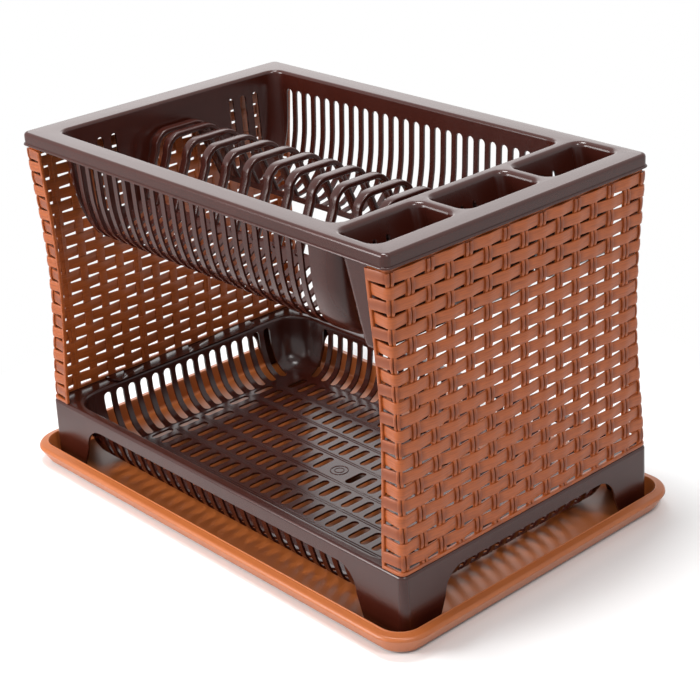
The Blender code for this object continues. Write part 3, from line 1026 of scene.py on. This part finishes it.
def plate_arch():
    """One strap, with round shoulders and feet that stand on the sills."""
    half_foot = arch_high.y
    half_top = half_foot - arch_lean_inwards
    top = arch_high.z
    foot = arch_low.z
    shoulder = top - arch_shoulder
    lean = math.atan2(arch_lean_inwards, shoulder - foot)

    # Path as (y, z, turn of its outward direction from sideways to upwards)
    leg_y = between(half_foot, half_top, 5)
    leg_z = between(foot - arch_foot_sink, shoulder, 5)
    path = [(y, z, lean) for y, z in list(zip(leg_y, leg_z))[:-1]]
    for turn, (back, drop) in zip(between(0.0, math.pi / 2, 8), fillet(arch_shoulder, 8)):
        path.append((half_top - back, top - drop, turn or lean))
    path.append((half_top * 0.3, top, math.pi / 2))
    path += [(-y, z, math.pi - turn) for y, z, turn in reversed(path)]
    section = strip_section(arch_thickness, arch_high.x - arch_low.x, arch_edge, None, 3)
    rows = []
    for y, z, turn in path:
        out_y = math.cos(turn)
        out_z = math.sin(turn)
        rows.append([(across, y - depth * out_y, z - depth * out_z) for depth, across in section])
    form = bmesh.new()
    add_capped(form, rows)
    return finish_solid("plate_arches", form, 60)


def add_node(tree, kind, feeds=(), **settings):
    """Add one node with its settings; feeds give its inputs another node's output or a value."""
    node = tree.nodes.new(kind)
    for key, value in settings.items():
        setattr(node, key, value)
    for key, source in dict(feeds).items():
        if isinstance(source, bpy.types.NodeSocket):
            tree.links.new(source, node.inputs[key])
        else:
            node.inputs[key].default_value = source
    return node


def repeat_tree():
    """Geometry nodes: copies of the object's own mesh in a row, each pushed along a wave.

    The wave is a cosine of the place along Phase and of the copy's number. Flatness mixes in its
    third power, which leaves the sheet level between the crests."""
    tree = bpy.data.node_groups.new("repeat_with_wave", "GeometryNodeTree")
    face = tree.interface
    for name, kind in (
        ("Geometry", "Geometry"), ("Count", "Int"), ("Start", "Vector"), ("Step", "Vector"),
        ("Phase", "Vector"), ("Push", "Vector"), ("Flatness", "Float"), ("Material", "Material"),
    ):
        face.new_socket(name, in_out="INPUT", socket_type="NodeSocket" + kind)
    face.new_socket("Geometry", in_out="OUTPUT", socket_type="NodeSocketGeometry")
    source = tree.nodes.new("NodeGroupInput").outputs
    feeds = {"Count": source["Count"], "Start Location": source["Start"], "Offset": source["Step"]}
    line = add_node(tree, "GeometryNodeMeshLine", feeds, mode="OFFSET")
    index = add_node(tree, "GeometryNodeInputIndex")
    feeds = {"Geometry": line.outputs[0], "Name": "number", "Value": index.outputs[0]}
    stored = add_node(tree, "GeometryNodeStoreNamedAttribute", feeds, data_type="FLOAT")
    feeds = {"Points": stored.outputs[0], "Instance": source["Geometry"]}
    copies = add_node(tree, "GeometryNodeInstanceOnPoints", feeds)
    real = add_node(tree, "GeometryNodeRealizeInstances", {"Geometry": copies.outputs[0]})
    number = add_node(tree, "GeometryNodeInputNamedAttribute", {"Name": "number"})
    place = add_node(tree, "GeometryNodeInputPosition")
    feeds = {0: place.outputs[0], 1: source["Phase"]}
    along = add_node(tree, "ShaderNodeVectorMath", feeds, operation="DOT_PRODUCT")
    feeds = {0: along.outputs["Value"], 1: number.outputs["Attribute"]}
    total = add_node(tree, "ShaderNodeMath", feeds, operation="ADD")
    turn = add_node(tree, "ShaderNodeMath", {0: total.outputs[0], 1: math.pi}, operation="MULTIPLY")
    wave = add_node(tree, "ShaderNodeMath", {0: turn.outputs[0]}, operation="COSINE")
    cube = add_node(tree, "ShaderNodeMath", {0: wave.outputs[0], 1: 3.0}, operation="POWER")
    feeds = {0: cube.outputs[0], 1: wave.outputs[0]}
    gap = add_node(tree, "ShaderNodeMath", feeds, operation="SUBTRACT")
    feeds = {0: gap.outputs[0], 1: source["Flatness"], 2: wave.outputs[0]}
    level = add_node(tree, "ShaderNodeMath", feeds, operation="MULTIPLY_ADD")
    feeds = {0: source["Push"], "Scale": level.outputs[0]}
    push = add_node(tree, "ShaderNodeVectorMath", feeds, operation="SCALE")
    feeds = {"Geometry": real.outputs[0], "Offset": push.outputs[0]}
    moved = add_node(tree, "GeometryNodeSetPosition", feeds)
    feeds = {"Geometry": moved.outputs[0], "Material": source["Material"]}
    painted = add_node(tree, "GeometryNodeSetMaterial", feeds)
    add_node(tree, "NodeGroupOutput", {0: painted.outputs[0]})
    return tree


def repeat(item, material, **values):
    """Run the repeating nodes on an object and keep the result as its plain mesh."""
    tree = bpy.data.node_groups.get("repeat_with_wave") or repeat_tree()
    still = {"Phase": (0.0, 0.0, 0.0), "Push": (0.0, 0.0, 0.0), "Flatness": 0.0}
    values = {**still, **values, "Material": material}
    modifier = item.modifiers.new("repeat", "NODES")
    modifier.node_group = tree
    for socket in tree.interface.items_tree:
        if socket.in_out == "INPUT" and socket.name in values:
            modifier[socket.identifier] = values[socket.name]
    return settle(item)


def wrap_on_panel(item, sign):
    """Bend a flat strip onto a panel: X runs round the contour, Y is the depth, Z the height."""
    places = np.empty(len(item.data.vertices) * 3, np.float32)
    item.data.vertices.foreach_get("co", places)
    strip_x, depth, height = places.reshape(-1, 3).astype(float).T
    share = np.clip((height - panel_foot) / panel_height, 0.0, 1.0)
    waist = np.sin(math.pi * share).clip(0.0) ** panel_waist_power
    foot_x = base_half_length - panel_foot_margin
    foot_y = base_half_depth - panel_foot_side_margin
    top_x = rim_half_length - wall - 2 * seat_gap + panel_relief
    top_y = rim_half_depth - wall - 2 * seat_gap + panel_relief
    face = lerp(foot_x, top_x, share) - panel_end_waist * waist
    side = lerp(foot_y, top_y, share) - panel_side_waist * waist
    hem = foot_x - panel_return + (top_x - foot_x) * share

    # The strip is flat up to the corner's round, then bends, and what is left runs back
    run = np.abs(strip_x)
    tangent = side - panel_radius
    bend = panel_radius * math.pi / 2
    straight = face - panel_radius - hem
    rest = (run - tangent) * (bend + straight) / (panel_half_strip - tangent)
    angle = np.clip(rest / panel_radius, 0.0, math.pi / 2)
    reach = panel_radius - depth
    x = np.where(run <= tangent, face - depth, face - panel_radius + reach * np.cos(angle))
    y = np.where(run <= tangent, run, side - panel_radius + reach * np.sin(angle))
    x = np.where(rest > bend, face - panel_radius - (rest - bend), x)
    y = np.where(rest > bend, side - depth, y)
    y = np.where(strip_x < 0, -y, y)
    bent = np.stack([sign * x, y, height], axis=1)
    item.data.vertices.foreach_set("co", bent.astype(np.float32).ravel())
    item.data.update()


def tube(name, section, stations, axis):
    """Straight bar with a closed section, along X (a strap) or along Z (a strand)."""
    rows = []
    for place in stations:
        if axis == "X":
            rows.append([(place, a, b) for a, b in section])
        else:
            rows.append([(b, a, place) for a, b in section])
    form = bmesh.new()
    add_capped(form, rows)
    return finish_solid(name, form, 60)


def shift(item, x, y, z):
    """Move an object's mesh, and leave the object where it is."""
    item.data.transform(Matrix.Translation((x, y, z)))
    return item


def side_panel(name, sign, material):
    """Imitation rattan: waving straps over and under double strands, with plain hems."""
    first_row = panel_foot + strap_foot
    weave_top = rack_top - rim_skirt - 2 * seat_gap - panel_relief
    reach = panel_half_strip - strap_end_margin
    stations = between(-reach, reach, strap_steps)

    # Straps: one straight strip, repeated up the panel and pushed over and under the stakes
    section = strip_section(strap_thickness, strap_height, strip_edge, strap_crown)
    strap = repeat(
        tube(name + "_straps", section, stations, "X"), material,
        Count=strap_rows, Start=(0.0, strap_wave, first_row), Step=(0.0, 0.0, strap_row_pitch),
        Phase=(1 / stake_pitch, 0.0, 0.0), Push=(0.0, -strap_wave, 0.0), Flatness=wave_flatness,
    )
    parts = [strap]

    # Stakes: double strands that wave the other way, in front of the strap where it dips
    low = panel_foot + weave_foot_margin
    high = weave_top - weave_top_margin
    heights = between(low, high, int((high - low) / strap_row_pitch * strand_steps_per_row))
    first_stake = -stakes_each_side * stake_pitch
    row_of_stakes = {"Count": 2 * stakes_each_side + 1, "Step": (stake_pitch, 0.0, 0.0)}
    section = strip_section(strand_thickness, strand_width, strip_edge, strand_crown)
    for offset in spread(2, strand_width + strand_gap):
        strand = shift(tube(name + "_strands", section, heights, "Z"), 0.0, 0.0, -first_row)
        repeat(
            strand, material, Start=(first_stake + offset, strand_wave + strand_depth, 0.0),
            Phase=(0.0, 0.0, 1 / strap_row_pitch), Flatness=-wave_flatness,
            Push=(0.0, strand_wave * (-1) ** stakes_each_side, 0.0), **row_of_stakes,
        )
        parts.append(shift(strand, 0.0, 0.0, first_row))

    # Bands behind the stakes and a few ribs, which are what the panel's inside shows
    heights = between(low, high, band_steps)
    band = tube(name + "_bands", strip_section(band_thickness, band_width, band_edge), heights, "Z")
    parts.append(repeat(band, material, Start=(first_stake, band_depth, 0.0), **row_of_stakes))
    rib = tube(name + "_ribs", strip_section(rib_thickness, rib_width, rib_edge), heights, "Z")
    parts.append(repeat(
        rib, material, Count=ribs, Start=(rib_first_stake * stake_pitch, rib_depth, 0.0),
        Step=(rib_stakes * stake_pitch, 0.0, 0.0),
    ))

    # Hem along the foot, the plain band that enters the rim, and beads along the two free edges
    for low_edge, high_edge, depth, thickness in (
        (panel_foot, panel_foot + hem_height, 0.0, panel_thickness),
        (weave_top - rim_band_overlap, panel_high.z, panel_relief, panel_band_thickness),
    ):
        section = strip_section(thickness, high_edge - low_edge, hem_edge)
        hem = tube(name + "_hem", section, stations, "X")
        parts.append(shift(hem, 0.0, depth, (low_edge + high_edge) / 2))
    section = strip_section(panel_thickness, bead_width, bead_edge)
    heights = between(panel_foot, weave_top, bead_steps)
    for side in (-1, 1):
        bead = tube(name + "_bead", section, heights, "Z")
        parts.append(shift(bead, side * (panel_half_strip - bead_width / 2), 0.0, 0.0))
    item = join(*parts)
    item.name = name
    wrap_on_panel(item, sign)

    # Tabs that stand in the ledge's sockets
    form = bmesh.new()
    for y in spread(3, tab_spacing):
        size = Matrix.Diagonal((tab_thickness, tab_length, tab_height, 1.0))
        place = Matrix.Translation((sign * tab_middle(), y, panel_low.z + tab_height / 2))
        bmesh.ops.create_cube(form, size=1.0, matrix=place @ size)
    bmesh.ops.bevel(form, geom=form.edges[:], offset=tab_edge, segments=2, affect="EDGES")
    item = join(item, new_object(name + "_tabs", form))
    form = bmesh.new()
    form.from_mesh(item.data)
    bmesh.ops.recalc_face_normals(form, faces=form.faces)
    form.to_mesh(item.data)
    form.free()
    item.data.shade_smooth()
    item.data.set_sharp_from_angle(angle=math.radians(45))
    return item


def linear(code):
    """Linear colour of an sRGB hex code."""
    values = [int(code[i:i + 2], 16) / 255 for i in (0, 2, 4)]
    values = [v / 12.92 if v <= 0.04045 else ((v + 0.055) / 1.055) ** 2.4 for v in values]
    return (*values, 1.0)


def new_material(name):
    material = bpy.data.materials.new(name)
    material.use_nodes = True
    return material, material.node_tree, material.node_tree.nodes["Principled BSDF"]


def painted_stake_shade(tree, place):
    """Painted shade on the weave: 0, darkest, at the stakes that stand in front, 1 on the straps
    between them.

    It follows the weave's own pitches, 20.8 mm along the panel and 11.9 mm up it. On the side
    that faces into the rack it is 1 all over, because only plain bands show there."""
    apart = add_node(tree, "ShaderNodeSeparateXYZ", {0: place.outputs["Object"]})
    feeds = {0: apart.outputs["Y"], 1: math.pi / stake_pitch}
    run = add_node(tree, "ShaderNodeMath", feeds, operation="MULTIPLY")
    across = add_node(tree, "ShaderNodeMath", {0: run.outputs[0]}, operation="COSINE")
    per_row = math.pi / strap_row_pitch
    feeds = {0: apart.outputs["Z"], 1: per_row, 2: -per_row * (panel_foot + strap_foot)}
    rise = add_node(tree, "ShaderNodeMath", feeds, operation="MULTIPLY_ADD")
    up = add_node(tree, "ShaderNodeMath", {0: rise.outputs[0]}, operation="COSINE")
    feeds = {0: across.outputs[0], 1: up.outputs[0]}
    over = add_node(tree, "ShaderNodeMath", feeds, operation="MULTIPLY")
    feeds = {"Value": over.outputs[0], "From Min": -0.90, "From Max": -0.10}
    shade = add_node(tree, "ShaderNodeMapRange", feeds)

    # Inside, the normal's X and the place's X differ in sign
    facing = add_node(tree, "ShaderNodeSeparateXYZ", {0: place.outputs["Normal"]})
    feeds = {0: facing.outputs["X"], 1: apart.outputs["X"]}
    outward = add_node(tree, "ShaderNodeMath", feeds, operation="MULTIPLY")
    feeds = {"Value": outward.outputs[0], "From Min": 0.02, "From Max": -0.02}
    inside = add_node(tree, "ShaderNodeMapRange", feeds)
    feeds = {0: shade.outputs["Result"], 1: inside.outputs["Result"]}
    return add_node(tree, "ShaderNodeMath", feeds, operation="MAXIMUM").outputs[0]


def plastic(name, dark, light, roughness, bump, grain=None):
    """Injection-moulded polypropylene, which takes its surface from the tool.

    From a plain tool its pigment clouds a little from dark to light, in patches of about 36 mm,
    and its surface has orange peel, here of 1.1 mm cells: the real ones are finer, and wouldn't
    show. A tool cut like reed leaves streaks instead: grain is their number in a metre along X,
    Y and Z. With grain the colour also takes painted shade, darkest at the stakes in front."""
    material, tree, shader = new_material(name)
    shader.inputs["Roughness"].default_value = roughness
    shader.inputs["IOR"].default_value = 1.49
    place = add_node(tree, "ShaderNodeTexCoord")
    if grain:
        feeds = {0: place.outputs["Object"], 1: grain}
        drawn = add_node(tree, "ShaderNodeVectorMath", feeds, operation="MULTIPLY")
        feeds = {"Vector": drawn.outputs[0], "Scale": 1.0, "Detail": 3.0}
        surface = add_node(tree, "ShaderNodeTexNoise", feeds)
        feeds = {"Value": surface.outputs["Fac"], "From Min": 0.20, "From Max": 0.60}
        streak = add_node(tree, "ShaderNodeMapRange", feeds)
        # Painted shade: darker where a stake stands in front of a strap, multiplied into the
        # streaks
        feeds = {0: streak.outputs["Result"], 1: painted_stake_shade(tree, place)}
        lightness = add_node(tree, "ShaderNodeMath", feeds, operation="MULTIPLY").outputs[0]
    else:
        feeds = {"Vector": place.outputs["Object"], "Scale": 900.0, "Detail": 2.0}
        surface = add_node(tree, "ShaderNodeTexNoise", feeds)
        feeds = {"Vector": place.outputs["Object"], "Scale": 28.0, "Detail": 3.0}
        lightness = add_node(tree, "ShaderNodeTexNoise", feeds).outputs["Fac"]
    feeds = {"Factor": lightness, 6: linear(dark), 7: linear(light)}
    colour = add_node(tree, "ShaderNodeMix", feeds, data_type="RGBA")
    tree.links.new(colour.outputs[2], shader.inputs["Base Color"])
    feeds = {"Height": surface.outputs["Fac"], "Strength": bump, "Distance": 0.0002}
    relief = add_node(tree, "ShaderNodeBump", feeds)
    tree.links.new(relief.outputs["Normal"], shader.inputs["Normal"])
    return material


def camera():
    """Camera at the photograph's place, with the azimuth, elevation and roll of its view."""
    position = Vector((1.0801, -0.9372, 0.7858))
    azimuth = math.radians(48.41)
    elevation = math.radians(24.50)
    roll = math.radians(-3.07)
    away = math.cos(elevation)
    back = Vector((math.sin(azimuth) * away, -math.cos(azimuth) * away, math.sin(elevation)))
    level = Vector((0.0, 0.0, 1.0)).cross(back).normalized()
    upright = back.cross(level)
    right = math.cos(roll) * level + math.sin(roll) * upright
    up = -math.sin(roll) * level + math.cos(roll) * upright
    data = bpy.data.cameras.new("photo_camera")
    data.sensor_width = 36.0
    data.lens = 88.77
    item = bpy.data.objects.new("photo_camera", data)
    turned = Matrix((right, up, back)).transposed().to_4x4()
    item.matrix_world = Matrix.Translation(position) @ turned
    bpy.context.scene.collection.objects.link(item)
    bpy.context.scene.camera = item


def softbox(name, position, target, size, power):
    data = bpy.data.lights.new(name, "AREA")
    data.energy = power
    data.size = size
    item = bpy.data.objects.new(name, data)
    item.location = position
    sight = Vector(target) - Vector(position)
    item.rotation_euler = sight.to_track_quat("-Z", "Y").to_euler()
    bpy.context.scene.collection.objects.link(item)


def background_share(tree):
    """1 for rays that show the background: the camera's, and those that gloss or glass sends on."""
    path = add_node(tree, "ShaderNodeLightPath").outputs
    feeds = {0: path["Is Camera Ray"], 1: path["Is Glossy Ray"]}
    seen = add_node(tree, "ShaderNodeMath", feeds, operation="MAXIMUM")
    feeds = {0: seen.outputs[0], 1: path["Is Transmission Ray"]}
    return add_node(tree, "ShaderNodeMath", feeds, operation="MAXIMUM").outputs[0]


def studio():
    """White surroundings, a pale floor that turns to plain white away from the rack, soft lamps."""
    scene = bpy.context.scene
    scene.view_settings.view_transform = "Standard"
    world = bpy.data.worlds.new("white_studio")
    scene.world = world
    world.use_nodes = True
    tree = world.node_tree
    tree.nodes.clear()
    white = linear("ffffff")
    seen = add_node(tree, "ShaderNodeBackground", {"Color": white, "Strength": 1.0})
    lit = add_node(tree, "ShaderNodeBackground", {"Color": white, "Strength": studio_light})
    feeds = {0: background_share(tree), 1: lit.outputs[0], 2: seen.outputs[0]}
    mix = add_node(tree, "ShaderNodeMixShader", feeds)
    add_node(tree, "ShaderNodeOutputWorld", {"Surface": mix.outputs[0]})

    form = bmesh.new()
    bmesh.ops.create_grid(form, x_segments=1, y_segments=1, size=floor_size)
    floor = new_object("studio_floor", form)
    # Matt paper sheet: no sheen, so that the rack's soft shadow is all that it shows
    material, tree, shader = new_material("matt_white_paper")
    shader.inputs["Base Color"].default_value = linear("fafafa")
    shader.inputs["Roughness"].default_value = 0.9
    place = add_node(tree, "ShaderNodeTexCoord")
    feeds = {0: place.outputs["Object"]}
    reach = add_node(tree, "ShaderNodeVectorMath", feeds, operation="LENGTH")
    far = add_node(tree, "ShaderNodeMapRange", {"Value": reach.outputs["Value"]})
    far.inputs["From Min"].default_value = floor_shadow_reach
    far.inputs["From Max"].default_value = floor_white_reach
    feeds = {0: far.outputs["Result"], 1: background_share(tree)}
    share = add_node(tree, "ShaderNodeMath", feeds, operation="MULTIPLY")
    plain_white = add_node(tree, "ShaderNodeEmission", {"Strength": 1.0})
    feeds = {0: share.outputs[0], 1: shader.outputs[0], 2: plain_white.outputs[0]}
    mix = add_node(tree, "ShaderNodeMixShader", feeds)
    tree.links.new(mix.outputs[0], tree.nodes["Material Output"].inputs["Surface"])
    floor.data.materials.append(material)
    floor.location.z = tray_low.z - 0.0001

    # Place, what it points at, side in metres, watts
    softbox("back_softbox", (-1.5, 1.35, 1.15), (0.0, 0.0, 0.2), 1.6, 9.0)
    softbox("front_softbox", (-0.7, -1.6, 0.8), (0.0, 0.0, 0.15), 0.9, 31.0)
    softbox("right_softbox", (1.3, -0.5, 1.8), (0.2, 0.0, 0.15), 0.35, 13.0)
    softbox("top_softbox", (-0.2, -0.1, 1.9), (0.0, 0.0, 0.2), 0.5, 24.0)


def dress(item, material, body, slot, *nodes):
    """Give a piece its material and its body, and hide the frame's parts that it stands for. The
    slot is not used.
    """
    item.data.materials.clear()
    item.data.materials.append(material)
    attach(item, body)
    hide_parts(*nodes)


def main():
    camera()
    studio()
    # Caramel polypropylene from a smooth tool: an even warm brown with a soft, wide sheen
    caramel = plastic("caramel_polypropylene", "a5582a", "b1632f", 0.34, 0.1)
    # The same plastic from a tool cut like reed: streaks 0.7 mm high and 17 mm long break the
    # sheen along each strap, and the worn-looking dark in the streaks gives the depth of cane
    # Its colour also carries painted shade, darkest where a stake stands in front of the straps, on
    # the outside only
    grain = (60.0, 60.0, 1500.0)
    rattan = plastic("rattan_look_polypropylene", "7c3811", "a3511e", 0.38, 0.6, grain)
    # Dark brown polypropylene from a polished tool: nearly black, with pale glossy reflections
    brown = plastic("dark_brown_polypropylene", "33110a", "3d160e", 0.22, 0.1)

    dress(drip_tray(), caramel, "tray", "tray_plastic", "drip_tray")
    dress(lower_basket(), brown, "rack", "lower_basket_plastic", "lower_basket")
    for name, sign in (("left_panel", -1), ("right_panel", 1)):
        panel = side_panel(name + "_weave", sign, rattan)
        dress(panel, rattan, "rack", name + "_plastic", name)
    cups = ["front_cutlery_cup", "middle_cutlery_cup", "back_cutlery_cup"]
    dress(upper_basket(), brown, "top_basket", "upper_basket_plastic", "upper_basket", *cups)

    # The arches between the walls are equally spaced, and the two at the walls stand closer
    arches = sorted(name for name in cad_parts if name.startswith("plate_arch"))
    centres = [(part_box(name)[0].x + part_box(name)[1].x) / 2 for name in arches]
    rows = []
    for start, step, count in (
        (centres[1], centres[2] - centres[1], len(arches) - 2),
        (centres[0], centres[-1] - centres[0], 2),
    ):
        row = {"Count": count, "Start": (start, 0.0, 0.0), "Step": (step, 0.0, 0.0)}
        rows.append(repeat(plate_arch(), brown, **row))
    dress(join(*rows), brown, "top_basket", "plate_arch_plastic", *arches)


main()
